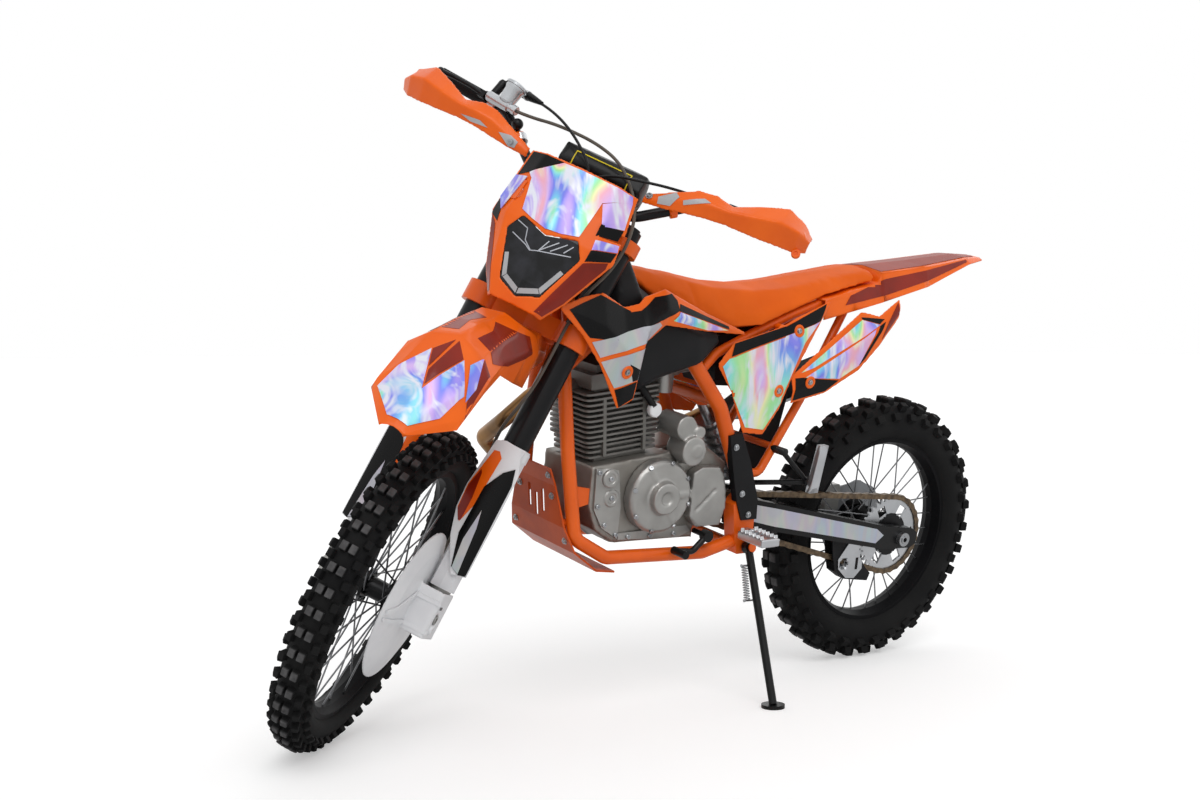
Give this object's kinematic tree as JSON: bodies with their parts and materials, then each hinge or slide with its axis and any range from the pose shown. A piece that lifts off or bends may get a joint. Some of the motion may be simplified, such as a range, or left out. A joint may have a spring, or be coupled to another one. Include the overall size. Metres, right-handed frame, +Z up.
{
  "type": "dirt bike",
  "caption": "Knobbly-tyred off-road motorcycle leaning on its side stand, with turning wheels, steering to both locks, hand guards, headlight mask and air-cooled single engine.",
  "frame": {"origin": "on the floor below the middle of the parked bike's box", "axes": "+X the way the bike points, +Y to the rider's left, +Z up; the bike leans to its left by 9.5 degrees on its side stand with the bars on their left stop"},
  "size_m": [2.0324, 0.6912, 1.3952],
  "materials": {
    "alloy": "bare cast alloy",
    "black_metal": "satin anodised",
    "black_paint": "satin powder coat",
    "black_plastic": "matte moulded plastic",
    "cable": "black sheath",
    "chain_steel": "oiled steel",
    "grip_rubber": "soft ribbed rubber",
    "guard_white": "gloss moulded plastic",
    "header_steel": "heat-tinted steel",
    "hose": "grey-brown hose",
    "lens": "dark moulded lens",
    "orange_paint": "gloss powder coat",
    "orange_plastic": "gloss moulded plastic",
    "seat_vinyl": "gripper vinyl over foam",
    "steel": "zinc-plated steel",
    "tyre_rubber": "knobbly tyre rubber"
  },
  "bodies": {
    "frame": {"main_frame": "orange_paint", "subframe": "orange_paint", "skid_plate": "orange_plastic", "engine_case": "alloy", "engine_cylinder": "alloy", "engine_covers": "alloy", "carburettor": "alloy", "exhaust_header": "header_steel", "muffler": "black_metal", "fuel_tank": "black_plastic", "shrouds": "orange_plastic", "seat": "seat_vinyl", "side_panels": "black_plastic", "tail_panels": "black_plastic", "rear_fender": "orange_plastic", "inner_mudguard": "black_plastic", "airbox": "black_plastic", "passenger_pegs": "alloy", "frame_guards": "black_plastic", "chain_guide": "black_plastic", "swingarm": "black_paint", "rear_axle": "alloy", "rear_shock": "orange_paint", "chain": "chain_steel", "footpegs": "steel", "foot_controls": "black_metal", "rear_caliper": "alloy"},
    "steering": {"triple_clamps": "orange_paint", "fork_tubes": "black_metal", "fork_legs": "alloy", "fork_guards": "guard_white", "front_fender": "orange_plastic", "headlight_mask": "orange_plastic", "headlight": "lens", "handlebar": "black_metal", "bar_clamp": "alloy", "grips": "grip_rubber", "handguards": "orange_plastic", "bar_pad": "black_plastic", "levers": "black_metal", "master_cylinder": "alloy", "disc_guard": "guard_white", "front_caliper": "alloy", "brake_hose": "hose", "clutch_cable": "cable", "throttle_cable": "cable"},
    "front_wheel": {"front_tyre": "tyre_rubber", "front_rim": "black_metal", "front_spokes": "steel", "front_hub": "black_metal"},
    "rear_wheel": {"rear_tyre": "tyre_rubber", "rear_rim": "black_metal", "rear_spokes": "steel", "rear_hub": "black_metal", "rear_sprocket": "alloy"},
    "side_stand": {"side_stand": "black_paint"}
  },
  "joints": [
    {"name": "steering_turn", "type": "hinge", "parent": "frame", "child": "steering", "pos_m": [0.34386, -0.02795, 0.9403], "axis": [-0.4582, 0.1464, 0.8767], "range_deg": [-86, 0]},
    {"name": "front_wheel_spin", "type": "hinge", "parent": "steering", "child": "front_wheel", "pos_m": [0.73074, -0.0759, 0.31811], "axis": [-0.6067, 0.6693, -0.4288], "continuous": true},
    {"name": "rear_wheel_spin", "type": "hinge", "parent": "frame", "child": "rear_wheel", "pos_m": [-0.67994, -0.13028, 0.33301], "axis": [-0.0007, 0.9863, -0.165], "continuous": true},
    {"name": "side_stand_fold", "type": "hinge", "parent": "frame", "child": "side_stand", "pos_m": [-0.14991, 0.00914, 0.33996], "axis": [0.0003, 0.9965, 0.0837], "range_deg": [0, 95]}
  ]
}
